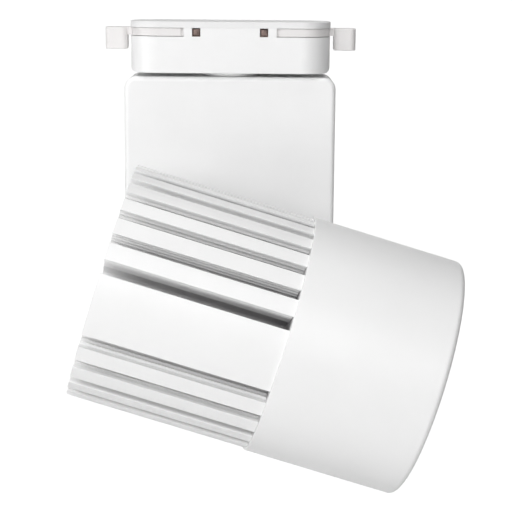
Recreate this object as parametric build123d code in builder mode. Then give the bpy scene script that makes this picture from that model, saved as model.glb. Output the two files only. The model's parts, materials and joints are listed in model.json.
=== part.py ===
from build123d import *
import math
import os

os.makedirs("parts", exist_ok=True)

# Track spotlight: a track adapter, a driver box that swivels under it and a finned lamp head
# that tilts beside the box.
# Frame: origin at the centre of the adapter's top face, +Z up, X along the track and -Y towards
# the side that carries the lamp head.  Millimetres.

# ---------------------------------------------------------------- driving dimensions
# Adapter
ADAPTER_LENGTH = 84.4
ADAPTER_WIDTH = 34.0
ADAPTER_CORNER = 12.0
ADAPTER_HEIGHT = 21.3
END_FOOT_ROUND = 2.5
TOP_PLATE = 2.6
PLATE_OVERHANG = 0.2
ADAPTER_WALL = 2.0
ADAPTER_FLOOR = 2.4
NOTCH_BOTTOM = -6.2
SLOT_START = 19.4
WINDOW_CENTRE = 14.15
WINDOW_SIZE = 3.5

# Latches
LATCH_TRAVEL = 1.0
LATCH_CLEARANCE = 0.2
LATCH_THICK = 3.2
LATCH_TOP = -2.75
LATCH_INSET = 0.3
TAB_INNER = 43.9
TAB_OUTER = 53.2
TAB_BOTTOM = -12.0
TAB_TOP = -2.75
TAB_WIDTH = 12.0
TAB_WALL = 1.6
TAB_HOLLOW = 5.6
TAB_ARM_WIDTH = 8.0

# Swivel between the adapter and the driver box
NECK_GAP = 1.7
COLLAR_RADIUS = 12.9
STEM_RADIUS = 5.0
STEM_BORE = 3.2
NUT_ACROSS_FLATS = 15.0
NUT_HEIGHT = 4.6
RUNNING_CLEARANCE = 0.06
FACE_GAP = 0.1

# Driver box
BOX_WIDTH = 89.2
BOX_HEIGHT = 122.5
BOX_DEPTH = 30.0
BOX_CORNER = 5.0
BOX_EDGE = 2.0
BOX_WALL = 2.0
REAR_COVER = 2.0

# Lamp head
LAMP_TILT = 16.9
LAMP_GAP = 2.0
SINK_RADIUS = 47.5
SINK_BACK = -51.4
SINK_FRONT = 21.7
CORE_RADIUS = 22.0
WIRE_BORE = 3.0
PAD_GAP_ANGLE = 18.1
FIN_GAP_ANGLES = (31.8, 44.6, 56.4, 68.0, 79.0)
TOP_GAP_ANGLE = 90.0
PAD_GAP_MOUTH = 5.3
FIN_GAP_MOUTH = 3.85
LIP_THICK = 1.0
LIP_SLOPE = 0.6
CHAMBER_HALF = 3.3
ROOT_HALF = 1.1
ROOT_ROUND = 0.8
LAND_ROUND = 0.2
BASE_RADIUS = 45.8
BASE_THICK = 6.0
COVER_RADIUS = 48.4
COVER_FRONT = 83.3
COVER_ROUND = 2.2
COVER_WALL = 2.2
COVER_SEAM = 0.05
PIVOT_DROP = 92.0
TILT_SPOT_RADIUS = 11.0
TILT_SPOT_DEPTH = 1.7
TILT_BOLT_DEPTH = 9.0

# Small edges and screws
EDGE_BREAK = 0.4
SCREW_SLOT = 0.6
FLUSH_DROP = 0.05

# ---------------------------------------------------------------- derived places
housing_bottom = -ADAPTER_HEIGHT
housing_top = -TOP_PLATE
housing_floor = housing_bottom + ADAPTER_FLOOR
box_top = housing_bottom - NECK_GAP
box_bottom = box_top - BOX_HEIGHT
box_front = -BOX_DEPTH / 2
box_back = BOX_DEPTH / 2
box_middle = (box_top + box_bottom) / 2
latch_inner_end = SLOT_START + LATCH_TRAVEL + LATCH_CLEARANCE
pivot_z = box_top - PIVOT_DROP
lamp_axis_y = box_front - LAMP_GAP - SINK_RADIUS
cover_back = SINK_FRONT + COVER_SEAM
base_front = SINK_FRONT + BASE_THICK

# The lamp's own plane: Z runs along the beam, X across it and upwards, Y towards -Y of the frame.
tilt = math.radians(LAMP_TILT)
lamp_plane = Plane(
    origin=(0, lamp_axis_y, pivot_z),
    x_dir=(math.sin(tilt), 0, math.cos(tilt)),
    z_dir=(math.cos(tilt), 0, -math.sin(tilt)),
)
# Half-section plane for the lamp's turned parts: X is the radius and Y runs along the beam.
lamp_section = Plane(
    origin=lamp_plane.origin,
    x_dir=lamp_plane.x_dir,
    z_dir=(0, 1, 0),
)


def save(builder, node):
    """Label a finished piece and write its STEP file."""
    builder.part.label = node
    export_step(builder.part, f"parts/{node}.step")


def wall_plane(y):
    """Plane parallel to the box's front, seen from the lamp's side: X right, Z up."""
    return Plane(origin=(0, y, 0), x_dir=(1, 0, 0), z_dir=(0, -1, 0))


def adapter_outline(inset=0.0):
    """The adapter's rounded plan shape, drawn smaller by an inset all round."""
    return RectangleRounded(
        ADAPTER_LENGTH - 2 * inset, ADAPTER_WIDTH - 2 * inset, ADAPTER_CORNER - inset
    )


def hex_nut(plane, across_flats, bore, height):
    """Hexagon nut standing on a plane."""
    with BuildPart() as nut:
        with BuildSketch(plane):
            RegularPolygon(across_flats / 2, 6, major_radius=False)
            Circle(bore, mode=Mode.SUBTRACT)
        extrude(amount=height)
        chamfer(nut.edges().filter_by(GeomType.CIRCLE), EDGE_BREAK)
    return nut


def ring(plane, outer, inner, height):
    """Plain washer standing on a plane."""
    with BuildPart() as washer:
        with BuildSketch(plane):
            Circle(outer)
            Circle(inner, mode=Mode.SUBTRACT)
        extrude(amount=height)
    return washer


def tube(plane, outer, inner, length):
    """Hollow threaded tube, drawn as a plain tube with chamfered ends."""
    with BuildPart() as pipe:
        with BuildSketch(plane):
            Circle(outer)
            Circle(inner, mode=Mode.SUBTRACT)
        extrude(amount=length)
        outer_rims = pipe.edges().filter_by(GeomType.CIRCLE).group_by(SortBy.RADIUS)[-1]
        chamfer(outer_rims, EDGE_BREAK)
    return pipe


def countersunk_screw(plane, head_radius, shank_radius, length):
    """Countersunk screw: the plane is the flush face and the shank runs against its normal."""
    head = head_radius - shank_radius
    with BuildPart() as screw:
        with BuildSketch(plane.offset(-head)):
            Circle(shank_radius)
        with BuildSketch(plane):
            Circle(head_radius)
        loft()
        with BuildSketch(plane.offset(-length)):
            Circle(shank_radius)
        extrude(amount=length - head)
        with BuildSketch(plane):
            Rectangle(head_radius, SCREW_SLOT)
            Rectangle(SCREW_SLOT, head_radius)
        extrude(amount=-SCREW_SLOT, mode=Mode.SUBTRACT)
    return screw


# ---------------------------------------------------------------- adapter housing
SCREW_POST_X = 16.8
SCREW_POST_RADIUS = 2.7
PLATE_SCREW_RADIUS = 1.15
PLATE_SCREW_HEAD = 2.3
PLATE_SCREW_LENGTH = 8.0
POST_HOLE_RADIUS = 1.2
POCKET_START = 17.0
POCKET_HALF = 15.9

with BuildPart() as adapter_housing:
    with BuildSketch(Plane.XY.offset(housing_bottom)):
        adapter_outline()
    extrude(amount=housing_top - housing_bottom)
    # Both ends rounded down to the underside
    with BuildSketch(Plane.XZ) as front_view:
        with Locations((0, (housing_top + housing_bottom) / 2)):
            Rectangle(ADAPTER_LENGTH, housing_top - housing_bottom)
        fillet(front_view.vertices().group_by(Axis.Y)[0], END_FOOT_ROUND)
    extrude(amount=ADAPTER_WIDTH, both=True, mode=Mode.INTERSECT)
    # Inside of the tray
    with BuildSketch(Plane.XY.offset(housing_floor)):
        adapter_outline(ADAPTER_WALL)
    extrude(amount=ADAPTER_HEIGHT, mode=Mode.SUBTRACT)
    # Screw posts between the windows and the latch slots
    with BuildSketch(Plane.XY.offset(housing_floor)):
        with Locations((-SCREW_POST_X, 0), (SCREW_POST_X, 0)):
            Circle(SCREW_POST_RADIUS)
    extrude(amount=housing_top - housing_floor)
    # Lowered rim round both ends, where the latch plates slide
    with BuildSketch(Plane.XY.offset(NOTCH_BOTTOM)):
        Rectangle(2 * ADAPTER_LENGTH, 2 * ADAPTER_WIDTH)
        Rectangle(2 * SLOT_START, 2 * ADAPTER_WIDTH, mode=Mode.SUBTRACT)
    extrude(amount=housing_top - NOTCH_BOTTOM, mode=Mode.SUBTRACT)
    # Shallow pockets in the long walls beside it, where the latches' guide blades slide
    pocket_middle = (POCKET_START + SLOT_START) / 2
    with BuildSketch(Plane.XY.offset(NOTCH_BOTTOM)):
        with Locations((-pocket_middle, 0), (pocket_middle, 0)):
            Rectangle(SLOT_START - POCKET_START, 2 * POCKET_HALF)
            Rectangle(SLOT_START - POCKET_START, ADAPTER_WIDTH / 2, mode=Mode.SUBTRACT)
    extrude(amount=housing_top - NOTCH_BOTTOM, mode=Mode.SUBTRACT)
    # Square windows through both long walls
    with BuildSketch(Plane.XY.offset(NOTCH_BOTTOM)):
        with Locations((-WINDOW_CENTRE, 0), (WINDOW_CENTRE, 0)):
            Rectangle(WINDOW_SIZE, 2 * ADAPTER_WIDTH)
            Circle(ADAPTER_WIDTH / 4, mode=Mode.SUBTRACT)
    extrude(amount=housing_top - NOTCH_BOTTOM, mode=Mode.SUBTRACT)
    # Stem hole in the floor and blind screw holes in the posts
    with Locations(Location((0, 0, housing_floor))):
        Hole(STEM_RADIUS + RUNNING_CLEARANCE)
    with BuildSketch(Plane.XY.offset(housing_top)):
        with Locations((-SCREW_POST_X, 0), (SCREW_POST_X, 0)):
            Circle(POST_HOLE_RADIUS)
    extrude(amount=-PLATE_SCREW_LENGTH, mode=Mode.SUBTRACT)
save(adapter_housing, "adapter_housing")

# ---------------------------------------------------------------- adapter top plate and screws
PLATE_EDGE = 0.15
PLATE_HOLE = PLATE_SCREW_RADIUS + 0.15
PLATE_SINK = PLATE_SCREW_HEAD + 0.1

with BuildPart() as adapter_top_plate:
    with BuildSketch(Plane.XY.offset(housing_top)):
        adapter_outline(-PLATE_OVERHANG)
    extrude(amount=TOP_PLATE)
    fillet(adapter_top_plate.faces().sort_by(Axis.Z)[-1].edges(), PLATE_EDGE)
    with Locations((-SCREW_POST_X, 0, 0), (SCREW_POST_X, 0, 0)):
        CounterSinkHole(radius=PLATE_HOLE, counter_sink_radius=PLATE_SINK, counter_sink_angle=90)
save(adapter_top_plate, "adapter_top_plate")

for side, side_name in ((-1, "left"), (1, "right")):
    screw_seat = Plane(origin=(side * SCREW_POST_X, 0, -FLUSH_DROP))
    plate_screw = countersunk_screw(
        screw_seat, PLATE_SCREW_HEAD, PLATE_SCREW_RADIUS, PLATE_SCREW_LENGTH
    )
    save(plate_screw, f"top_plate_screw_{side_name}")

# ---------------------------------------------------------------- copper contact strips
STRIP_LENGTH = 33.0
STRIP_HEIGHT = 6.0
STRIP_THICK = 0.8
STRIP_DROP = 0.4
STRIP_FACE = ADAPTER_WIDTH / 2 - ADAPTER_WALL - 0.2
PAD_SIZE = 3.0
PAD_DEPTH = 0.9
PAD_ROUND = 0.4


def contact_strip(side):
    """Copper strip behind one long wall, with a raised pad in each window."""
    strip_y = side * (STRIP_FACE - STRIP_THICK / 2)
    strip_z = housing_top - STRIP_DROP - STRIP_HEIGHT / 2
    pad_z = (NOTCH_BOTTOM + housing_top) / 2
    with BuildPart() as strip:
        with Locations((0, strip_y, strip_z)):
            Box(STRIP_LENGTH, STRIP_THICK, STRIP_HEIGHT)
        with Locations(
            (-WINDOW_CENTRE, side * (STRIP_FACE + PAD_DEPTH / 2), pad_z),
            (WINDOW_CENTRE, side * (STRIP_FACE + PAD_DEPTH / 2), pad_z),
        ):
            Box(PAD_SIZE, PAD_DEPTH, PAD_SIZE)
        pad_faces = strip.faces().filter_by(Axis.Y).sort_by(Axis.Y)
        outer = pad_faces[-2:] if side > 0 else pad_faces[:2]
        fillet(outer.edges(), PAD_ROUND)
    return strip


save(contact_strip(-1), "contact_live")
save(contact_strip(1), "contact_neutral")

# ---------------------------------------------------------------- latches and their springs
LUG_X = 33.0
LUG_THICK = 2.0
LUG_WIDTH = 8.0
LUG_BOTTOM = -14.5
TONGUE_TIP = 17.0
TONGUE_INNER = 3.4
TONGUE_OUTER = 13.4
BLADE_TIP = 18.2
BLADE_OUTER = 15.7
TAB_CORNER = 2.4
TAB_EDGE = 0.4
HOLLOW_CORNER = 0.8
ARM_ROOT = 3.0
ARM_OVERLAP = 1.0
SPRING_LEVEL = -13.0
SPRING_HEIGHT = 4.0
SPRING_THICK = 0.4
SPRING_SWING = 2.6
SPRING_BEND = 0.6
SPRING_WAVES = 4


def latch(side):
    """Slide plate with a spring lug underneath and a hollow finger tab outside the end."""
    plate_bottom = LATCH_TOP - LATCH_THICK
    tab_length = TAB_OUTER - TAB_INNER
    tab_middle = side * (TAB_INNER + TAB_OUTER) / 2
    arm_start = ADAPTER_LENGTH / 2 - ARM_ROOT
    arm_end = TAB_INNER + ARM_OVERLAP
    with BuildPart() as body:
        # Finger tab, hollow from below
        with BuildSketch(Plane.XY.offset(TAB_BOTTOM)) as tab_outline:
            with Locations((tab_middle, 0)):
                Rectangle(tab_length, TAB_WIDTH)
            fillet(tab_outline.vertices(), TAB_CORNER)
        extrude(amount=TAB_TOP - TAB_BOTTOM)
        fillet(body.faces().filter_by(Axis.Z).edges(), TAB_EDGE)
        with BuildSketch(Plane.XY.offset(TAB_BOTTOM)) as tab_hollow:
            with Locations((tab_middle, 0)):
                Rectangle(tab_length - 2 * TAB_WALL, TAB_WIDTH - 2 * TAB_WALL)
            fillet(tab_hollow.vertices(), HOLLOW_CORNER)
        extrude(amount=TAB_HOLLOW, mode=Mode.SUBTRACT)
        # Slide plate that fills the adapter's outline
        with BuildSketch(Plane.XY.offset(plate_bottom)):
            adapter_outline(LATCH_INSET)
            with Locations((side * (latch_inner_end - ADAPTER_LENGTH), 0)):
                Rectangle(2 * ADAPTER_LENGTH, 2 * ADAPTER_WIDTH, mode=Mode.SUBTRACT)
            # Guide tongues and blades that run inwards on both sides of the screw post
            for tip, outer in ((TONGUE_TIP, TONGUE_OUTER), (BLADE_TIP, BLADE_OUTER)):
                guide_x = side * (tip + latch_inner_end) / 2
                guide_y = (TONGUE_INNER + outer) / 2
                with Locations((guide_x, -guide_y), (guide_x, guide_y)):
                    Rectangle(latch_inner_end - tip, outer - TONGUE_INNER)
        extrude(amount=LATCH_THICK)
        # Arm from the plate's end out to the tab
        with BuildSketch(Plane.XY.offset(plate_bottom)):
            with Locations((side * (arm_start + arm_end) / 2, 0)):
                Rectangle(arm_end - arm_start, TAB_ARM_WIDTH)
        extrude(amount=LATCH_THICK)
        # Lug that the spring pushes on
        with BuildSketch(Plane.XY.offset(LUG_BOTTOM)):
            with Locations((side * LUG_X, 0)):
                Rectangle(LUG_THICK, LUG_WIDTH)
        extrude(amount=plate_bottom - LUG_BOTTOM)
    return body


def latch_spring(side):
    """Flat spring bent to and fro between the screw post and the latch's lug."""
    start = SCREW_POST_X + SCREW_POST_RADIUS + SPRING_THICK
    end = LUG_X - LUG_THICK / 2 - SPRING_THICK
    bends = 2 * SPRING_WAVES
    step = (end - start) / bends
    points = [(side * (start + step * i), SPRING_SWING * (-1) ** i) for i in range(bends + 1)]
    with BuildPart() as spring:
        with BuildSketch(Plane.XY.offset(SPRING_LEVEL)):
            with BuildLine():
                FilletPolyline(*points, radius=SPRING_BEND)
            trace(line_width=SPRING_THICK)
        extrude(amount=SPRING_HEIGHT)
    return spring


for side, side_name in ((-1, "left"), (1, "right")):
    save(latch(side), f"latch_{side_name}")
    save(latch_spring(side), f"latch_spring_{side_name}")

# ---------------------------------------------------------------- swivel: collar, stem, nuts
COLLAR_FOOT = 1.0
STEM_PAST_NUT = 1.4
STEM_WASHER_RADIUS = 9.5
STEM_WASHER_THICK = 1.0
washer_bottom = box_top - BOX_WALL - FACE_GAP - STEM_WASHER_THICK
stem_top = housing_floor + NUT_HEIGHT + STEM_PAST_NUT
stem_bottom = washer_bottom - NUT_HEIGHT - STEM_PAST_NUT

with BuildPart() as swivel_collar:
    with BuildSketch(Plane.XY.offset(box_top + FACE_GAP)):
        Circle(COLLAR_RADIUS)
        Circle(STEM_RADIUS, mode=Mode.SUBTRACT)
    extrude(amount=NECK_GAP - FACE_GAP)
    collar_foot = swivel_collar.edges().group_by(Axis.Z)[0].sort_by(SortBy.RADIUS)[-1]
    fillet(collar_foot, COLLAR_FOOT)
save(swivel_collar, "swivel_collar")

stem = tube(Plane.XY.offset(stem_bottom), STEM_RADIUS, STEM_BORE, stem_top - stem_bottom)
save(stem, "swivel_stem")
washer_plane = Plane.XY.offset(washer_bottom)
save(ring(washer_plane, STEM_WASHER_RADIUS, STEM_RADIUS, STEM_WASHER_THICK), "stem_washer")
for nut_level, node in (
    (housing_floor, "stem_upper_nut"),
    (washer_bottom - NUT_HEIGHT, "stem_lower_nut"),
):
    save(hex_nut(Plane.XY.offset(nut_level), NUT_ACROSS_FLATS, STEM_RADIUS, NUT_HEIGHT), node)

# ---------------------------------------------------------------- driver box
POST_INSET = 7.0
POST_RADIUS = 3.2
COVER_SCREW_RADIUS = 1.2
COVER_SCREW_HEAD = 2.7
COVER_SCREW_LENGTH = 9.0
COVER_HOLE = COVER_SCREW_RADIUS + 0.25
COVER_SINK = COVER_SCREW_HEAD + 0.1
COVER_EDGE = 1.0
cover_face = box_back - REAR_COVER
post_x = BOX_WIDTH / 2 - POST_INSET
post_z = BOX_HEIGHT / 2 - POST_INSET
cover_screw_places = [(x, box_middle + z) for x in (-post_x, post_x) for z in (-post_z, post_z)]

with BuildPart() as driver_shell:
    with BuildSketch(wall_plane(cover_face)):
        with Locations((0, box_middle)):
            RectangleRounded(BOX_WIDTH, BOX_HEIGHT, BOX_CORNER)
    extrude(amount=cover_face - box_front)
    fillet(driver_shell.faces().sort_by(Axis.Y)[0].edges(), BOX_EDGE)
    # Inside, open towards the rear cover
    with BuildSketch(wall_plane(cover_face)):
        with Locations((0, box_middle)):
            RectangleRounded(
                BOX_WIDTH - 2 * BOX_WALL, BOX_HEIGHT - 2 * BOX_WALL, BOX_CORNER - BOX_WALL
            )
    extrude(amount=cover_face - box_front - BOX_WALL, mode=Mode.SUBTRACT)
    # Posts for the rear cover's screws
    with BuildSketch(wall_plane(cover_face)):
        with Locations(*cover_screw_places):
            Circle(POST_RADIUS)
    extrude(amount=cover_face - box_front - BOX_WALL)
    with BuildSketch(wall_plane(cover_face)):
        with Locations(*cover_screw_places):
            Circle(COVER_SCREW_RADIUS + RUNNING_CLEARANCE)
    extrude(amount=COVER_SCREW_LENGTH, mode=Mode.SUBTRACT)
    # Hole for the swivel stem in the top and for the tilt bolt in the front
    with BuildSketch(Plane.XY.offset(box_top)):
        Circle(STEM_RADIUS + RUNNING_CLEARANCE)
    extrude(amount=-BOX_WALL, mode=Mode.SUBTRACT)
    with BuildSketch(wall_plane(box_front)):
        with Locations((0, pivot_z)):
            Circle(STEM_RADIUS + RUNNING_CLEARANCE)
    extrude(amount=-BOX_WALL, mode=Mode.SUBTRACT)
save(driver_shell, "driver_shell")

BOARD_WIDTH = 66.0
BOARD_HEIGHT = 58.0
BOARD_THICK = 1.6
BOARD_CORNER = 2.0
BOARD_HOLE = 1.6
BOARD_HOLE_INSET = 3.5
STANDOFF = 4.0
STANDOFF_RADIUS = 2.6
board_face = cover_face - STANDOFF
board_middle = box_top - 42.0
board_hole_grid = (BOARD_WIDTH - 2 * BOARD_HOLE_INSET, BOARD_HEIGHT - 2 * BOARD_HOLE_INSET, 2, 2)

with BuildPart() as driver_rear_cover:
    with BuildSketch(wall_plane(box_back)):
        with Locations((0, box_middle)):
            RectangleRounded(BOX_WIDTH, BOX_HEIGHT, BOX_CORNER)
    extrude(amount=REAR_COVER)
    fillet(driver_rear_cover.faces().sort_by(Axis.Y)[-1].edges(), COVER_EDGE)
    with Locations(*[
        Location((x, box_back, z), (-90, 0, 0)) for x, z in cover_screw_places
    ]):
        CounterSinkHole(radius=COVER_HOLE, counter_sink_radius=COVER_SINK, counter_sink_angle=90)
    # Moulded stand-offs that carry the driver's board
    with BuildSketch(wall_plane(cover_face)):
        with Locations((0, board_middle)):
            with GridLocations(*board_hole_grid):
                Circle(STANDOFF_RADIUS)
    extrude(amount=STANDOFF)
save(driver_rear_cover, "driver_rear_cover")

for number, (x, z) in enumerate(cover_screw_places, start=1):
    flush_face = Plane(origin=(x, box_back - FLUSH_DROP, z), x_dir=(1, 0, 0), z_dir=(0, 1, 0))
    cover_screw = countersunk_screw(
        flush_face, COVER_SCREW_HEAD, COVER_SCREW_RADIUS, COVER_SCREW_LENGTH
    )
    save(cover_screw, f"rear_cover_screw_{number}")

# ---------------------------------------------------------------- driver inside the box
part_face = wall_plane(board_face - BOARD_THICK)

with BuildPart() as driver_board:
    with BuildSketch(wall_plane(board_face)):
        with Locations((0, board_middle)):
            RectangleRounded(BOARD_WIDTH, BOARD_HEIGHT, BOARD_CORNER)
            with GridLocations(*board_hole_grid):
                Circle(BOARD_HOLE, mode=Mode.SUBTRACT)
    extrude(amount=BOARD_THICK)
save(driver_board, "driver_board")

# Transformer: two flanges of the core with the round-cornered winding between them
TRANSFORMER_PLACE = (4, board_middle - 2)
CORE_SIZE = (24, 20)
WINDING_SIZE = (18, 24)
WINDING_CORNER = 4.0
CORE_FOOT = 4.0
WINDING_HEIGHT = 9.0
CORE_TOP = 2.0

with BuildPart() as transformer:
    for level, height in ((0, CORE_FOOT), (CORE_FOOT + WINDING_HEIGHT, CORE_TOP)):
        with BuildSketch(part_face.offset(level)):
            with Locations(TRANSFORMER_PLACE):
                Rectangle(*CORE_SIZE)
        extrude(amount=height)
    with BuildSketch(part_face.offset(CORE_FOOT)):
        with Locations(TRANSFORMER_PLACE):
            RectangleRounded(*WINDING_SIZE, WINDING_CORNER)
    extrude(amount=WINDING_HEIGHT)
save(transformer, "transformer")

CHOKE_PLACE = (-23, board_middle + 17)
CHOKE_RADIUS = 7.5
CHOKE_BORE = 3.0
CHOKE_HEIGHT = 8.0
CHOKE_ROUND = 1.2

with BuildPart() as line_choke:
    with BuildSketch(part_face):
        with Locations(CHOKE_PLACE):
            Circle(CHOKE_RADIUS)
            Circle(CHOKE_BORE, mode=Mode.SUBTRACT)
    extrude(amount=CHOKE_HEIGHT)
    fillet(line_choke.edges().filter_by(GeomType.CIRCLE), CHOKE_ROUND)
save(line_choke, "line_choke")

# Capacitors: name, place on the board, radius and height of the can
CAPACITORS = (
    ("input_capacitor", (-20, board_middle - 6), 6.0, 14.0),
    ("output_capacitor", (25, board_middle + 14), 5.0, 12.5),
)
CAN_ROUND = 0.8

for node, place, radius, height in CAPACITORS:
    with BuildPart() as capacitor:
        with BuildSketch(part_face):
            with Locations(place):
                Circle(radius)
        extrude(amount=height)
        fillet(capacitor.faces().sort_by(Axis.Y)[0].edges(), CAN_ROUND)
    save(capacitor, node)

TERMINAL_PLACE = (22, board_middle - 21)
TERMINAL_SIZE = (14, 9)
TERMINAL_HEIGHT = 9.0
TERMINAL_PITCH = 7.0
TERMINAL_HOLE = 1.8
TERMINAL_HOLE_DEPTH = 1.2

with BuildPart() as output_terminal:
    with BuildSketch(part_face):
        with Locations(TERMINAL_PLACE):
            Rectangle(*TERMINAL_SIZE)
    extrude(amount=TERMINAL_HEIGHT)
    with BuildSketch(part_face.offset(TERMINAL_HEIGHT)):
        with Locations(TERMINAL_PLACE):
            with GridLocations(TERMINAL_PITCH, 0, 2, 1):
                Circle(TERMINAL_HOLE)
    extrude(amount=-TERMINAL_HOLE_DEPTH, mode=Mode.SUBTRACT)
save(output_terminal, "output_terminal")

# ---------------------------------------------------------------- tilt pivot
WASHER_THICK = 0.5
SPOT_CLEARANCE = 0.4
SPRING_WASHER_RADIUS = 8.5
SPRING_WASHER_THICK = 1.4
BOLT_PAST_NUT = 1.3
sink_spot_y = lamp_axis_y + SINK_RADIUS - TILT_SPOT_DEPTH
washer_face = box_front - WASHER_THICK
spacer_face = washer_face - FACE_GAP
bolt_start = sink_spot_y - TILT_BOLT_DEPTH
spring_washer_y = box_front + BOX_WALL + FACE_GAP
tilt_nut_y = spring_washer_y + SPRING_WASHER_THICK
bolt_end = tilt_nut_y + NUT_HEIGHT + BOLT_PAST_NUT


def tilt_plane(y):
    """Plane across the tilt axis that faces the box's back."""
    return Plane(origin=(0, y, pivot_z), x_dir=(1, 0, 0), z_dir=(0, 1, 0))


with BuildPart() as tilt_spacer:
    with BuildSketch(tilt_plane(sink_spot_y)):
        Circle(TILT_SPOT_RADIUS - SPOT_CLEARANCE)
        Circle(STEM_RADIUS, mode=Mode.SUBTRACT)
    extrude(amount=spacer_face - sink_spot_y)
save(tilt_spacer, "tilt_spacer")

for node, y, outer, bore, thick in (
    (
        "tilt_friction_washer",
        washer_face,
        TILT_SPOT_RADIUS - SPOT_CLEARANCE,
        STEM_RADIUS + RUNNING_CLEARANCE,
        WASHER_THICK,
    ),
    (
        "tilt_spring_washer",
        spring_washer_y,
        SPRING_WASHER_RADIUS,
        STEM_RADIUS,
        SPRING_WASHER_THICK,
    ),
):
    save(ring(tilt_plane(y), outer, bore, thick), node)

save(tube(tilt_plane(bolt_start), STEM_RADIUS, STEM_BORE, bolt_end - bolt_start), "tilt_bolt")
save(hex_nut(tilt_plane(tilt_nut_y), NUT_ACROSS_FLATS, STEM_RADIUS, NUT_HEIGHT), "tilt_nut")

# ---------------------------------------------------------------- heat sink
FRONT_PAD_ANGLE = 90


def fin_gap(angle, mouth, pad_side=0):
    """Cuts one gap in the cross-section: a mouth between thin lips, then a chamber that narrows
    to the root.  On the side of a pad the wall runs straight in."""
    outline = []
    for side in (-1, 1):
        if side == pad_side:
            wall = [(2 * SINK_RADIUS, mouth / 2), (CORE_RADIUS, mouth / 2)]
        else:
            wall = [
                (2 * SINK_RADIUS, mouth / 2),
                (SINK_RADIUS - LIP_THICK, mouth / 2),
                (SINK_RADIUS - LIP_THICK - LIP_SLOPE, CHAMBER_HALF),
                (CORE_RADIUS, ROOT_HALF),
            ]
        points = [(radius, side * offset) for radius, offset in wall]
        outline += points if side < 0 else points[::-1]
    with Locations(Location((0, 0, 0), (0, 0, angle))):
        Polygon(*outline, align=None, mode=Mode.SUBTRACT)


with BuildPart() as heat_sink:
    with BuildSketch(lamp_plane.offset(SINK_BACK)) as sink_profile:
        Circle(SINK_RADIUS)
        for pad_angle in (FRONT_PAD_ANGLE, FRONT_PAD_ANGLE + 180):
            for turn in (-1, 1):
                fin_gap(pad_angle + turn * PAD_GAP_ANGLE, PAD_GAP_MOUTH, pad_side=-turn)
                for fin_angle in FIN_GAP_ANGLES:
                    fin_gap(pad_angle + turn * fin_angle, FIN_GAP_MOUTH)
            fin_gap(pad_angle + TOP_GAP_ANGLE, FIN_GAP_MOUTH)
        root_corners = sink_profile.vertices().filter_by(
            lambda corner: math.hypot(corner.X, corner.Y) < CORE_RADIUS + ROOT_HALF
        )
        fillet(root_corners, ROOT_ROUND)
        land_corners = sink_profile.vertices().filter_by(
            lambda corner: math.hypot(corner.X, corner.Y) > SINK_RADIUS - LIP_THICK / 2
        )
        fillet(land_corners, LAND_ROUND)
    extrude(amount=SINK_FRONT - SINK_BACK)
    # Seat for the LED, inside the front cover
    with BuildSketch(lamp_plane.offset(SINK_FRONT)):
        Circle(BASE_RADIUS)
    extrude(amount=BASE_THICK)
    # Blind wire channel from the LED seat back to the tilt bolt
    with BuildSketch(lamp_plane):
        Circle(WIRE_BORE)
    extrude(amount=base_front, mode=Mode.SUBTRACT)
    # Flat spot and threaded hole for the tilt bolt in the pad that faces the box
    with BuildSketch(tilt_plane(sink_spot_y)):
        Circle(TILT_SPOT_RADIUS)
    extrude(amount=2 * TILT_SPOT_DEPTH, mode=Mode.SUBTRACT)
    with BuildSketch(tilt_plane(bolt_start)):
        Circle(STEM_RADIUS)
    extrude(amount=TILT_BOLT_DEPTH, mode=Mode.SUBTRACT)
    with BuildSketch(tilt_plane(lamp_axis_y)):
        Circle(STEM_BORE)
    extrude(amount=SINK_RADIUS, mode=Mode.SUBTRACT)
save(heat_sink, "heat_sink")

# ---------------------------------------------------------------- light source
BOARD_SIDE = 28.0
LED_THICK = 1.6
LED_CORNER = 1.0
EMITTER_RADIUS = 9.0
EMITTER_THICK = 0.8
HOLDER_RADIUS = 24.0
HOLDER_MOUTH = 9.4
HOLDER_RIM = 2.4
HOLDER_CLEARANCE = 0.2
HOLDER_SCREW = 18.5
HOLDER_SCREW_RADIUS = 1.5
SCREW_HEAD = 1.7
SCREW_HEAD_RADIUS = 2.7
SCREW_HEAD_ROOM = 0.2
led_face = base_front + LED_THICK
holder_face = led_face + HOLDER_RIM
holder_screw_places = [(HOLDER_SCREW, 0), (-HOLDER_SCREW, 0)]

with BuildPart() as led_board:
    with BuildSketch(lamp_plane.offset(base_front)):
        RectangleRounded(BOARD_SIDE, BOARD_SIDE, LED_CORNER)
        Circle(WIRE_BORE / 2, mode=Mode.SUBTRACT)
    extrude(amount=LED_THICK)
save(led_board, "led_board")

with BuildPart() as led_emitter:
    with BuildSketch(lamp_plane.offset(led_face)):
        Circle(EMITTER_RADIUS)
    extrude(amount=EMITTER_THICK)
save(led_emitter, "led_emitter")

with BuildPart() as led_holder:
    with BuildSketch(lamp_plane.offset(base_front)):
        Circle(HOLDER_RADIUS)
        board_room = BOARD_SIDE + HOLDER_CLEARANCE
        RectangleRounded(board_room, board_room, LED_CORNER, mode=Mode.SUBTRACT)
    extrude(amount=LED_THICK)
    with BuildSketch(lamp_plane.offset(led_face)):
        Circle(HOLDER_RADIUS)
        Circle(HOLDER_MOUTH, mode=Mode.SUBTRACT)
    extrude(amount=HOLDER_RIM)
    with BuildSketch(lamp_plane.offset(base_front)):
        with Locations(*holder_screw_places):
            Circle(HOLDER_SCREW_RADIUS + SCREW_HEAD_ROOM / 2)
    extrude(amount=holder_face - base_front, mode=Mode.SUBTRACT)
    with BuildSketch(lamp_plane.offset(holder_face - SCREW_HEAD)):
        with Locations(*holder_screw_places):
            Circle(SCREW_HEAD_RADIUS + SCREW_HEAD_ROOM)
    extrude(amount=SCREW_HEAD, mode=Mode.SUBTRACT)
save(led_holder, "led_holder")

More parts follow.
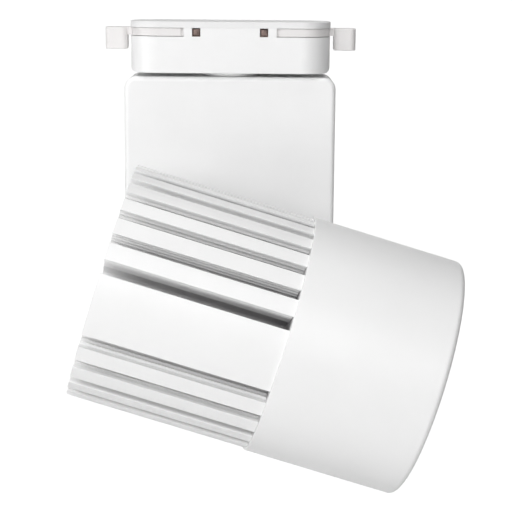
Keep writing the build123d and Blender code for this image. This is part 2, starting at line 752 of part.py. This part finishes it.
for number, place in enumerate(holder_screw_places, start=1):
    with BuildPart() as holder_screw:
        with BuildSketch(lamp_plane.offset(base_front)):
            with Locations(place):
                Circle(HOLDER_SCREW_RADIUS)
        extrude(amount=holder_face - base_front)
        with BuildSketch(lamp_plane.offset(holder_face - SCREW_HEAD)):
            with Locations(place):
                Circle(SCREW_HEAD_RADIUS)
        extrude(amount=SCREW_HEAD)
        head_rims = holder_screw.edges().filter_by(GeomType.CIRCLE).group_by(SortBy.RADIUS)[-1]
        chamfer(head_rims, EDGE_BREAK)
    save(holder_screw, f"led_holder_screw_{number}")

# ---------------------------------------------------------------- reflector, glass and gasket
REFLECTOR_FRONT = 70.0
REFLECTOR_SMALL = 10.5
REFLECTOR_LARGE = 40.5
REFLECTOR_WALL = 1.0
REFLECTOR_FOOT = 2.5
BOWL_START = (1.0, 0.35)
BOWL_END = (0.32, 1.0)
GASKET_BORE = 41.2
GASKET_THICK = 1.0
GLASS_RADIUS = 44.0
GLASS_THICK = 3.0
rim_back = REFLECTOR_FRONT - REFLECTOR_WALL
glass_back = REFLECTOR_FRONT + GASKET_THICK
glass_front = glass_back + GLASS_THICK

with BuildPart() as reflector:
    with BuildSketch(lamp_section):
        with BuildLine():
            inner = Spline(
                (REFLECTOR_SMALL, holder_face),
                (REFLECTOR_LARGE, REFLECTOR_FRONT),
                tangents=(BOWL_START, BOWL_END),
            )
            outer = Spline(
                (REFLECTOR_LARGE + REFLECTOR_WALL, rim_back),
                (REFLECTOR_SMALL + REFLECTOR_FOOT, holder_face),
                tangents=((-BOWL_END[0], -BOWL_END[1]), (-BOWL_START[0], -BOWL_START[1])),
            )
            Polyline(inner @ 1, (GLASS_RADIUS, REFLECTOR_FRONT), (GLASS_RADIUS, rim_back), outer @ 0)
            Line(outer @ 1, inner @ 0)
        make_face()
    revolve(axis=Axis(lamp_plane.origin, lamp_plane.z_dir))
save(reflector, "reflector")

gasket = ring(lamp_plane.offset(REFLECTOR_FRONT), GLASS_RADIUS, GASKET_BORE, GASKET_THICK)
save(gasket, "lens_gasket")

with BuildPart() as lens_glass:
    with BuildSketch(lamp_plane.offset(glass_back)):
        Circle(GLASS_RADIUS)
    extrude(amount=GLASS_THICK)
    chamfer(lens_glass.edges().filter_by(GeomType.CIRCLE), EDGE_BREAK)
save(lens_glass, "lens_glass")

# ---------------------------------------------------------------- front cover
INNER_RADIUS = COVER_RADIUS - COVER_WALL
MOUTH_RADIUS = 42.6
MOUTH_ROUND = 0.5
LIP_RADIUS = 42.0
SEAT_RADIUS = GLASS_RADIUS + 0.1
SEAT_BACK = REFLECTOR_FRONT - 2.0
SEAT_SLOPE = 4.0

with BuildPart() as front_cover:
    with BuildSketch(lamp_section) as cover_profile:
        with BuildLine():
            Polyline(
                (INNER_RADIUS, cover_back),
                (COVER_RADIUS, cover_back),
                (COVER_RADIUS, COVER_FRONT),
                (MOUTH_RADIUS, COVER_FRONT),
                (LIP_RADIUS, glass_front),
                (SEAT_RADIUS, glass_front),
                (SEAT_RADIUS, SEAT_BACK),
                (INNER_RADIUS, SEAT_BACK - SEAT_SLOPE),
                close=True,
            )
        make_face()
        for corner, radius in (
            ((COVER_RADIUS, COVER_FRONT), COVER_ROUND),
            ((COVER_RADIUS, cover_back), LAND_ROUND),
            ((MOUTH_RADIUS, COVER_FRONT), MOUTH_ROUND),
        ):
            fillet(cover_profile.vertices().sort_by_distance(corner)[0], radius)
    revolve(axis=Axis(lamp_plane.origin, lamp_plane.z_dir))
save(front_cover, "front_cover")
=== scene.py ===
import json
import math

import bmesh
import bpy
from mathutils import Matrix, Vector


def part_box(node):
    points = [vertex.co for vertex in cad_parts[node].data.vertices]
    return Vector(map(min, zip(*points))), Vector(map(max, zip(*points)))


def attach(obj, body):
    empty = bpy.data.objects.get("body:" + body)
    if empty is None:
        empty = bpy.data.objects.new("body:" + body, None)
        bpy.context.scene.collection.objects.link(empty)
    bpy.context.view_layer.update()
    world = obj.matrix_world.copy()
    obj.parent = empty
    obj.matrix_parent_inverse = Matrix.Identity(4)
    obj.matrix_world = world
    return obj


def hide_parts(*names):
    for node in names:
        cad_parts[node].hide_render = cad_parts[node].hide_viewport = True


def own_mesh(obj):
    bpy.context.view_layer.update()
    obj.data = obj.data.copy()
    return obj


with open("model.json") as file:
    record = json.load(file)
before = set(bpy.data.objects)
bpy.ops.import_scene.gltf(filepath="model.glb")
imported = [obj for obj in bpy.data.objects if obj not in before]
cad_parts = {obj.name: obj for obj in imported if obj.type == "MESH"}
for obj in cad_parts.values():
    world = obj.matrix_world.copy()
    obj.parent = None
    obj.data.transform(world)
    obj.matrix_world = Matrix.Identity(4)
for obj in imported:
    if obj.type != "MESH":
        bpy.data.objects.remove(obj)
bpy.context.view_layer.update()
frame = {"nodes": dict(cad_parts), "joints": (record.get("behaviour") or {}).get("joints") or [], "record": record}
NODES = frame["nodes"]
scene = bpy.context.scene

# Track spotlight.  Frame: metres, +Z up, X along the track, -Y towards the lamp head's side.

# ---------------------------------------------------------------- places read from the frame
MM = 0.001
MICRON = 0.000001
joints = {joint["name"]: joint for joint in frame["joints"]}
PIVOT_Z = joints["tilt"]["pos_m"][2]
TILT = math.radians(-joints["tilt"]["range_deg"][0])
sink_low, sink_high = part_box("heat_sink")
SINK_RADIUS = (sink_high[1] - sink_low[1]) / 2
LAMP_AXIS_Y = (sink_high[1] + sink_low[1]) / 2
BEAM = Vector((math.cos(TILT), 0, -math.sin(TILT)))
ACROSS = Vector((math.sin(TILT), 0, math.cos(TILT)))
OUTWARD = Vector((0, -1, 0))
LAMP_CENTRE = Vector((0, LAMP_AXIS_Y, PIVOT_Z))
# Ends of the fins, along the beam from the pivot
SINK_BACK = -51.4 * MM
SINK_FRONT = 21.7 * MM


def in_lamp(across, outward, along):
    """A point in the lamp's own directions: across and up, away from the box, along the beam."""
    return LAMP_CENTRE + ACROSS * across + OUTWARD * outward + BEAM * along


# ---------------------------------------------------------------- camera
# Place in metres, turns in degrees, lens and sensor in millimetres
CAMERA_PLACE = (0.01158, -0.65383, 0.01887)
CAMERA_DOWN = 10.48
CAMERA_ROLL = 0.48
CAMERA_LENS = 106.4
CAMERA_SENSOR = 36.0
CAMERA_CLIP = 0.01

camera_data = bpy.data.cameras.new("camera")
camera_data.sensor_width = CAMERA_SENSOR
camera_data.lens = CAMERA_LENS
camera_data.clip_start = CAMERA_CLIP
camera = bpy.data.objects.new("camera", camera_data)
camera.matrix_world = (
    Matrix.Translation(CAMERA_PLACE)
    @ Matrix.Rotation(math.radians(90 - CAMERA_DOWN), 4, "X")
    @ Matrix.Rotation(math.radians(CAMERA_ROLL), 4, "Z")
)
scene.collection.objects.link(camera)
scene.camera = camera
scene.view_settings.view_transform = "Standard"

# ---------------------------------------------------------------- materials
# A noise pattern stays mostly between these two values
PATTERN_LOW = 0.3
PATTERN_HIGH = 0.7


class Surface:
    """A node material with a Principled shader and helpers for its textures."""

    def __init__(self, material):
        self.material = material
        self.tree = material.node_tree
        self.shader = self.tree.nodes["Principled BSDF"]
        self.coords = self.add("ShaderNodeTexCoord").outputs["Object"]

    @classmethod
    def new(cls, name, **values):
        """A new material; values are the shader's settings, with _ for a space in their names."""
        material = bpy.data.materials.new(name)
        material.use_nodes = True
        surface = cls(material)
        for socket, value in values.items():
            surface.shader.inputs[socket.replace("_", " ")].default_value = value
        return surface

    def add(self, kind, **settings):
        node = self.tree.nodes.new(kind)
        for key, value in settings.items():
            setattr(node, key, value)
        return node

    def link(self, output, socket):
        self.tree.links.new(output, socket)

    def noise(self, scale, detail, roughness=0.55, stretch=None):
        node = self.add("ShaderNodeTexNoise")
        node.inputs["Scale"].default_value = scale
        node.inputs["Detail"].default_value = detail
        node.inputs["Roughness"].default_value = roughness
        source = self.coords
        if stretch:
            turn, factors = stretch
            mapping = self.add("ShaderNodeMapping")
            mapping.inputs["Rotation"].default_value = turn
            mapping.inputs["Scale"].default_value = factors
            self.link(source, mapping.inputs["Vector"])
            source = mapping.outputs["Vector"]
        self.link(source, node.inputs["Vector"])
        return node.outputs["Fac"]

    def spread(self, value, low, high, low_at=PATTERN_LOW, high_at=PATTERN_HIGH):
        """Maps a value to low at low_at, to high at high_at and evenly in between."""
        node = self.add("ShaderNodeMapRange")
        node.inputs["From Min"].default_value = low_at
        node.inputs["From Max"].default_value = high_at
        node.inputs["To Min"].default_value = low
        node.inputs["To Max"].default_value = high
        self.link(value, node.inputs["Value"])
        return node.outputs["Result"]

    def colour(self, value, dark, light):
        """Base colour that wanders between two tones with a pattern."""
        ramp = self.add("ShaderNodeValToRGB")
        ramp.color_ramp.elements[0].position = PATTERN_LOW
        ramp.color_ramp.elements[1].position = PATTERN_HIGH
        ramp.color_ramp.elements[0].color = (*dark, 1)
        ramp.color_ramp.elements[1].color = (*light, 1)
        self.link(value, ramp.inputs["Fac"])
        self.link(ramp.outputs["Color"], self.shader.inputs["Base Color"])

    def rough(self, value, low, high):
        self.link(self.spread(value, low, high), self.shader.inputs["Roughness"])

    def bump(self, value, distance, strength=1.0):
        node = self.add("ShaderNodeBump")
        node.inputs["Distance"].default_value = distance
        node.inputs["Strength"].default_value = strength
        self.link(value, node.inputs["Height"])
        previous = self.shader.inputs["Normal"]
        if previous.is_linked:
            self.link(previous.links[0].from_socket, node.inputs["Normal"])
        self.link(node.outputs["Normal"], previous)

    def product(self, first, second):
        """Two values multiplied."""
        node = self.add("ShaderNodeMath", operation="MULTIPLY")
        self.link(first, node.inputs[0])
        self.link(second, node.inputs[1])
        return node.outputs[0]


# How bright the darker clouds are, and how much more a warm tone takes from blue than from green
PLASTIC_CLOUD = 0.975
COAT_CLOUD = 0.98
WARM_BLUE = 1.3
# Blue share of the powder coat's white
COAT_BLUE = 0.998
# Painted shade in the fin gaps: its grey tone, the depths where it starts and is full, its share at the back
GAP_SHADE_TONE = (0.48, 0.475, 0.48)
GAP_SHADE_START_DEPTH = 1.5 * MM
GAP_SHADE_FULL_DEPTH = 9.0 * MM
GAP_SHADE_AT_BACK = 0.2


def moulded_plastic(name, tone, warm=0.0, roughness=0.36, grain=10 * MICRON):
    """Satin moulded plastic: a fine spark-eroded grain and faint cloudy gloss."""
    light = (tone, tone * (1 - warm), tone * (1 - WARM_BLUE * warm))
    dark = tuple(channel * PLASTIC_CLOUD for channel in light)
    surface = Surface.new(name, Specular_IOR_Level=0.45)
    surface.colour(surface.noise(scale=55, detail=5), dark, light)
    surface.rough(surface.noise(scale=240, detail=3), low=roughness - 0.04, high=roughness + 0.06)
    surface.bump(surface.noise(scale=5200, detail=2), grain)
    surface.bump(surface.noise(scale=90, detail=2), distance=30 * MICRON, strength=0.6)
    return surface.material


def powder_coat(name, tone, roughness=0.38):
    """White powder coat on aluminium: orange-peel ripple over a fine sand."""
    light = (tone, tone, tone * COAT_BLUE)
    dark = tuple(channel * COAT_CLOUD for channel in light)
    surface = Surface.new(name, Specular_IOR_Level=0.5, Coat_Weight=0.12, Coat_Roughness=0.25)
    surface.colour(surface.noise(scale=38, detail=4), dark, light)
    surface.rough(surface.noise(scale=300, detail=3), low=roughness - 0.05, high=roughness + 0.07)
    surface.bump(surface.noise(scale=900, detail=2), distance=20 * MICRON)
    surface.bump(surface.noise(scale=4200, detail=2), distance=6 * MICRON)
    return surface.material


def sink_coat_painted_shade(name, tone):
    """The same powder coat with painted shade: grey deep in the gaps, more so towards the cover."""
    material = powder_coat(name, tone)
    surface = Surface(material)
    from_centre = surface.add("ShaderNodeVectorMath", operation="SUBTRACT")
    from_centre.inputs[1].default_value = LAMP_CENTRE
    surface.link(surface.coords, from_centre.inputs[0])
    across = surface.add("ShaderNodeVectorMath", operation="CROSS_PRODUCT")
    across.inputs[1].default_value = BEAM
    surface.link(from_centre.outputs["Vector"], across.inputs[0])
    radius = surface.add("ShaderNodeVectorMath", operation="LENGTH")
    surface.link(across.outputs["Vector"], radius.inputs[0])
    depth = surface.spread(
        radius.outputs["Value"],
        low=1.0,
        high=0.0,
        low_at=SINK_RADIUS - GAP_SHADE_FULL_DEPTH,
        high_at=SINK_RADIUS - GAP_SHADE_START_DEPTH,
    )
    along = surface.add("ShaderNodeVectorMath", operation="DOT_PRODUCT")
    along.inputs[1].default_value = BEAM
    surface.link(from_centre.outputs["Vector"], along.inputs[0])
    closeness = surface.spread(along.outputs["Value"], GAP_SHADE_AT_BACK, 1.0, SINK_BACK, SINK_FRONT)
    # Painted shade: the coat turns grey deeper in the gaps and nearer the cover
    gap_shade_amount = surface.product(depth, closeness)
    mix = surface.add("ShaderNodeMix", data_type="RGBA")
    mix.inputs["B"].default_value = (*GAP_SHADE_TONE, 1)
    painted = surface.shader.inputs["Base Color"].links[0].from_socket
    surface.link(gap_shade_amount, mix.inputs["Factor"])
    surface.link(painted, mix.inputs["A"])
    surface.link(mix.outputs["Result"], surface.shader.inputs["Base Color"])
    return material


# Darkest part of the turning marks and of the grain, and how much bluer than red the zinc is
TURNED_DARK = 0.82
GRAIN_DARK = 0.86
ZINC_BLUE = 1.02


def plated_steel(name, tone=0.62, roughness=0.28):
    """Zinc-plated steel with turning marks."""
    surface = Surface.new(name, Metallic=1.0)
    plating = surface.noise(scale=420, detail=4)
    surface.colour(plating, dark=(tone * TURNED_DARK,) * 3, light=(tone, tone, tone * ZINC_BLUE))
    surface.rough(surface.noise(scale=900, detail=3), low=roughness - 0.06, high=roughness + 0.12)
    surface.bump(surface.noise(scale=3000, detail=2), distance=6 * MICRON)
    return surface.material


GRAIN_STRETCH = (1.0, 1.0, 0.04)


def brushed(name, tone, roughness, along):
    """Metal with a lengthwise grain."""
    surface = Surface.new(name, Metallic=1.0)
    pattern = surface.noise(scale=1500, detail=3, roughness=0.6, stretch=(along, GRAIN_STRETCH))
    surface.colour(pattern, tuple(channel * GRAIN_DARK for channel in tone), tone)
    surface.rough(pattern, low=roughness - 0.07, high=roughness + 0.1)
    surface.bump(pattern, distance=4 * MICRON)
    return surface.material


def copper_strip(name):
    """Bare copper alloy that has started to dull."""
    surface = Surface.new(name, Metallic=1.0)
    surface.colour(
        surface.noise(scale=700, detail=4),
        dark=(0.10, 0.075, 0.068),
        light=(0.27, 0.20, 0.18),
    )
    surface.rough(surface.noise(scale=1500, detail=3), low=0.28, high=0.5)
    surface.bump(surface.noise(scale=2500, detail=2), distance=8 * MICRON)
    return surface.material


def laminate(name):
    """Green circuit board with a faint glass weave."""
    surface = Surface.new(name, Roughness=0.35, Coat_Weight=0.4, Coat_Roughness=0.15)
    weave = surface.add("ShaderNodeTexWave", wave_type="BANDS", bands_direction="X")
    weave.inputs["Scale"].default_value = 900
    surface.link(surface.coords, weave.inputs["Vector"])
    surface.colour(
        surface.noise(scale=260, detail=3),
        dark=(0.012, 0.10, 0.04),
        light=(0.02, 0.16, 0.06),
    )
    surface.bump(weave.outputs["Fac"], distance=10 * MICRON)
    return surface.material


def dark_component(name):
    """Black tape and heat-shrink sleeve."""
    surface = Surface.new(name)
    surface.colour(
        surface.noise(scale=300, detail=3),
        dark=(0.012, 0.012, 0.014),
        light=(0.035, 0.035, 0.04),
    )
    surface.rough(surface.noise(scale=500, detail=3), low=0.35, high=0.6)
    surface.bump(surface.noise(scale=1200, detail=3), distance=20 * MICRON)
    return surface.material


def bright_reflector(name):
    """Bright anodised reflector with small hammered facets."""
    surface = Surface.new(name, Metallic=1.0)
    facets = surface.add("ShaderNodeTexVoronoi", feature="SMOOTH_F1")
    facets.inputs["Scale"].default_value = 420
    surface.link(surface.coords, facets.inputs["Vector"])
    surface.colour(
        surface.noise(scale=200, detail=3),
        dark=(0.78, 0.78, 0.80),
        light=(0.90, 0.90, 0.91),
    )
    surface.rough(surface.noise(scale=600, detail=3), low=0.10, high=0.2)
    surface.bump(facets.outputs["Distance"], distance=600 * MICRON, strength=0.7)
    return surface.material


def phosphor(name):
    """Yellow silicone over the light-emitting chips, with their rows just visible."""
    surface = Surface.new(name, Roughness=0.3)
    rows = surface.add("ShaderNodeTexWave", wave_type="BANDS", bands_direction="Y")
    rows.inputs["Scale"].default_value = 170
    surface.link(surface.coords, rows.inputs["Vector"])
    surface.colour(rows.outputs["Fac"], dark=(0.78, 0.50, 0.06), light=(0.90, 0.66, 0.12))
    surface.bump(surface.noise(scale=500, detail=3), distance=30 * MICRON)
    return surface.material


def clear_glass(name):
    """Clear tempered glass with a faint ripple."""
    surface = Surface.new(name, Roughness=0.02, IOR=1.5, Transmission_Weight=1.0)
    surface.shader.inputs["Base Color"].default_value = (0.95, 0.98, 0.97, 1)
    surface.bump(surface.noise(scale=60, detail=2), distance=10 * MICRON)
    return surface.material


def soft_rubber(name):
    """Grey silicone gasket."""
    surface = Surface.new(name)
    surface.colour(
        surface.noise(scale=400, detail=3),
        dark=(0.45, 0.45, 0.46),
        light=(0.52, 0.52, 0.53),
    )
    surface.rough(surface.noise(scale=900, detail=3), low=0.55, high=0.75)
    surface.bump(surface.noise(scale=2600, detail=2), distance=10 * MICRON)
    return surface.material


LATHE_TURN = (0.0, TILT, 0.0)
FINISHES = {
    "white_plastic": moulded_plastic("white_plastic", 0.93),
    "plate_plastic": moulded_plastic("plate_plastic", 0.87, roughness=0.45),
    "latch_plastic": moulded_plastic("latch_plastic", 0.85, warm=0.022),
    # The collar's white is set above the other white plastic as painted light, brightening the shaded neck under
    # the adapter
    "collar_plastic": moulded_plastic("collar_plastic", 0.96),
    "box_plastic": moulded_plastic("box_plastic", 0.94, roughness=0.42, grain=6 * MICRON),
    "terminal_plastic": moulded_plastic("terminal_plastic", 0.66, warm=0.02),
    "holder_plastic": moulded_plastic("holder_plastic", 0.82),
    "sink_paint": sink_coat_painted_shade("sink_paint", 0.92),
    "cover_paint": powder_coat("cover_paint", 0.92),
    "copper": copper_strip("copper"),
    "zinc_steel": plated_steel("zinc_steel"),
    "spring_steel": plated_steel("spring_steel", 0.5, 0.34),
    "spacer_aluminium": brushed("spacer_aluminium", (0.78, 0.78, 0.80), 0.3, LATHE_TURN),
    "led_substrate": brushed("led_substrate", (0.74, 0.75, 0.77), 0.32, LATHE_TURN),
    "board_laminate": laminate("board_laminate"),
    "component_black": dark_component("component_black"),
    "reflector_metal": bright_reflector("reflector_metal"),
    "phosphor": phosphor("phosphor"),
    "gasket_rubber": soft_rubber("gasket_rubber"),
    "lens_glass": clear_glass("lens_glass"),
}


def give(piece, finish):
    """Puts one finish on every material slot of a piece."""
    piece.data.materials.clear()
    piece.data.materials.append(FINISHES[finish])


for entry in frame["record"]["subparts"]:
    give(NODES[entry["node"]], entry["material_slot"])

# ---------------------------------------------------------------- fine ribs on the fin walls
# Gap angles in degrees from the pads; radii and half widths from the lamp's axis and gap's middle
FRONT_PAD = math.pi / 2
PAD_GAP_ANGLE = 18.1
FIN_GAP_ANGLES = (31.8, 44.6, 56.4, 68.0, 79.0)
TOP_GAP_ANGLE = 90.0
CORE_RADIUS = 22.0 * MM
LIP_DEPTH = 1.6 * MM
CHAMBER_RADIUS = SINK_RADIUS - LIP_DEPTH
CHAMBER_HALF = 3.3 * MM
ROOT_HALF = 1.1 * MM
RIB_ROWS = 5
RIB_STEP = 2.2 * MM
RIB_FIRST = 3.6 * MM
RIB_HEIGHT = 0.8 * MM
RIB_FOOT = 1.0 * MM
RIB_CREST = 0.35 * MM
RIB_SINK = 0.05 * MM
RIB_END_GAP = 0.25 * MM


def add_prism(mesh, outline, start, end):
    """Bar along the beam with an outline in the lamp's (across, outward) plane."""
    rings = [[mesh.verts.new(in_lamp(a, o, along)) for a, o in outline] for along in (start, end)]
    count = len(outline)
    for i in range(count):
        j = (i + 1) % count
        mesh.faces.new((rings[0][i], rings[0][j], rings[1][j], rings[1][i]))
    mesh.faces.new(rings[0])
    mesh.faces.new(rings[1])


def chamber_half(radius):
    """Half the width of the chamber behind the lips of a gap, at one radius."""
    along = (radius - CORE_RADIUS) / (CHAMBER_RADIUS - CORE_RADIUS)
    return ROOT_HALF + (CHAMBER_HALF - ROOT_HALF) * along


def rib_outline(angle, wall, radius):
    """Cross-section of one rib on one wall of a gap; wall is -1 or 1."""
    radial = (math.cos(angle), math.sin(angle))
    aside = (-math.sin(angle), math.cos(angle))
    points = []
    for out, height in (
        (radius - RIB_FOOT / 2, -RIB_SINK),
        (radius - RIB_CREST / 2, RIB_HEIGHT),
        (radius + RIB_CREST / 2, RIB_HEIGHT),
        (radius + RIB_FOOT / 2, -RIB_SINK),
    ):
        off = wall * (chamber_half(out) - height)
        points.append((out * radial[0] + off * aside[0], out * radial[1] + off * aside[1]))
    return points


def piece_from(mesh, name, body, finish):
    """Turns a bmesh into a shown piece that rides on a body and takes a finish."""
    bmesh.ops.recalc_face_normals(mesh, faces=mesh.faces)
    data = bpy.data.meshes.new(name)
    mesh.to_mesh(data)
    mesh.free()
    piece = bpy.data.objects.new(name, data)
    scene.collection.objects.link(piece)
    give(piece, finish)
    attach(piece, body)


def ribbed_walls():
    """Every ribbed wall, as the angle of its gap and the side the wall is on."""
    for half_turn in (0, math.pi):
        for mirror in (-1, 1):
            yield FRONT_PAD + half_turn + mirror * math.radians(PAD_GAP_ANGLE), mirror
            for fin_angle in FIN_GAP_ANGLES:
                for wall in (-1, 1):
                    yield FRONT_PAD + half_turn + mirror * math.radians(fin_angle), wall
        for wall in (-1, 1):
            yield FRONT_PAD + half_turn + math.radians(TOP_GAP_ANGLE), wall


def fin_ribs():
    """Extruded ribs on the fin walls, from just inside the lips inwards."""
    mesh = bmesh.new()
    for angle, wall in ribbed_walls():
        for row in range(RIB_ROWS):
            outline = rib_outline(angle, wall, SINK_RADIUS - RIB_FIRST - row * RIB_STEP)
            add_prism(mesh, outline, SINK_BACK + RIB_END_GAP, SINK_FRONT - RIB_END_GAP)
    piece_from(mesh, "fin_ribs", "lamp_head", "sink_paint")


fin_ribs()


def soft_spring(side_name):
    """A latch's spring as its own copy of the CAD piece, riding on the adapter."""
    node = f"latch_spring_{side_name}"
    spring = bpy.data.objects.new(f"flat_spring_{side_name}", NODES[node].data.copy())
    scene.collection.objects.link(spring)
    give(spring, "spring_steel")
    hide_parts(node)
    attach(spring, "adapter")
    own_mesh(spring)


soft_spring("left")
soft_spring("right")

# ---------------------------------------------------------------- stage and light
FLOOR_DROP = 0.34
SWEEP_START = 0.25
SWEEP_RADIUS = 1.1
SWEEP_STEPS = 24
STAGE_HALF_WIDTH = 6.0
STAGE_FRONT = -6.0
STAGE_TOP = 4.0
FLOOR_TONE = 0.8
BACKDROP_GLOW = 0.6
GLOW_EDGE = 0.2
# Axis, where the glow is full along it and where it is gone; X counts to both sides
GLOW_FADES = (
    ("Y", SWEEP_START, SWEEP_START - GLOW_EDGE),
    ("X", 0.36, 0.5),
    ("Z", 0.05, 0.2),
)


def sweep_profile():
    """Side profile of the floor and the wall behind it, joined by a large curve."""
    points = [(STAGE_FRONT, -FLOOR_DROP)]
    for i in range(SWEEP_STEPS + 1):
        turn = math.pi / 2 * i / SWEEP_STEPS
        points.append(
            (
                SWEEP_START + SWEEP_RADIUS * math.sin(turn),
                -FLOOR_DROP + SWEEP_RADIUS * (1 - math.cos(turn)),
            )
        )
    points.append((SWEEP_START + SWEEP_RADIUS, STAGE_TOP))
    return points


def stage_floor():
    """Pale studio floor that sweeps up behind the object and glows softly there."""
    mesh = bmesh.new()
    rows = [
        [mesh.verts.new((x, y, z)) for x in (-STAGE_HALF_WIDTH, STAGE_HALF_WIDTH)]
        for y, z in sweep_profile()
    ]
    for low, high in zip(rows, rows[1:]):
        mesh.faces.new((low[0], low[1], high[1], high[0])).smooth = True
    data = bpy.data.meshes.new("floor")
    mesh.to_mesh(data)
    mesh.free()
    floor = bpy.data.objects.new("floor", data)
    scene.collection.objects.link(floor)
    surface = Surface.new("floor", Roughness=0.9, Specular_IOR_Level=0.1)
    surface.shader.inputs["Base Color"].default_value = (FLOOR_TONE, FLOOR_TONE, FLOOR_TONE, 1)
    surface.shader.inputs["Emission Color"].default_value = (1, 1, 1, 1)
    place = surface.add("ShaderNodeSeparateXYZ")
    surface.link(surface.coords, place.inputs["Vector"])
    aside = surface.add("ShaderNodeMath", operation="ABSOLUTE")
    surface.link(place.outputs["X"], aside.inputs[0])
    places = {"X": aside.outputs[0], "Y": place.outputs["Y"], "Z": place.outputs["Z"]}
    glow = None
    for axis, full_at, gone_at in GLOW_FADES:
        brightest = BACKDROP_GLOW if glow is None else 1.0
        fade = surface.spread(places[axis], brightest, 0.0, full_at, gone_at)
        glow = fade if glow is None else surface.product(glow, fade)
    surface.link(glow, surface.shader.inputs["Emission Strength"])
    data.materials.append(surface.material)


stage_floor()

WORLD_LEVEL = 0.01


def studio_world():
    """Faint even surround; the soft boxes and the stage do the lighting."""
    world = bpy.data.worlds.new("studio")
    scene.world = world
    world.use_nodes = True
    background = world.node_tree.nodes["Background"]
    background.inputs["Color"].default_value = (1, 1, 1, 1)
    background.inputs["Strength"].default_value = WORLD_LEVEL


studio_world()


OBJECT_MIDDLE = (0.0, -0.04, -0.09)
# Name, place, size in metres, power in watts
LIGHTS = (
    ("left", (-1.1, -0.8, -0.02), 0.6, 3.95),
    ("left_high", (-0.8, -0.9, 0.7), 1.0, 6.0),
    ("front_high", (0.0, -1.35, 0.4), 1.0, 9.1),
    ("top", (0.0, -0.1, 1.3), 1.0, 8.5),
)


def soft_light(name, place, size, power):
    """Large square soft box that faces the object."""
    data = bpy.data.lights.new(name, "AREA")
    data.shape = "SQUARE"
    data.size = size
    data.energy = power
    light = bpy.data.objects.new(name, data)
    light.location = place
    aim = Vector(OBJECT_MIDDLE) - Vector(place)
    light.rotation_euler = aim.to_track_quat("-Z", "Y").to_euler()
    scene.collection.objects.link(light)


for light in LIGHTS:
    soft_light(*light)
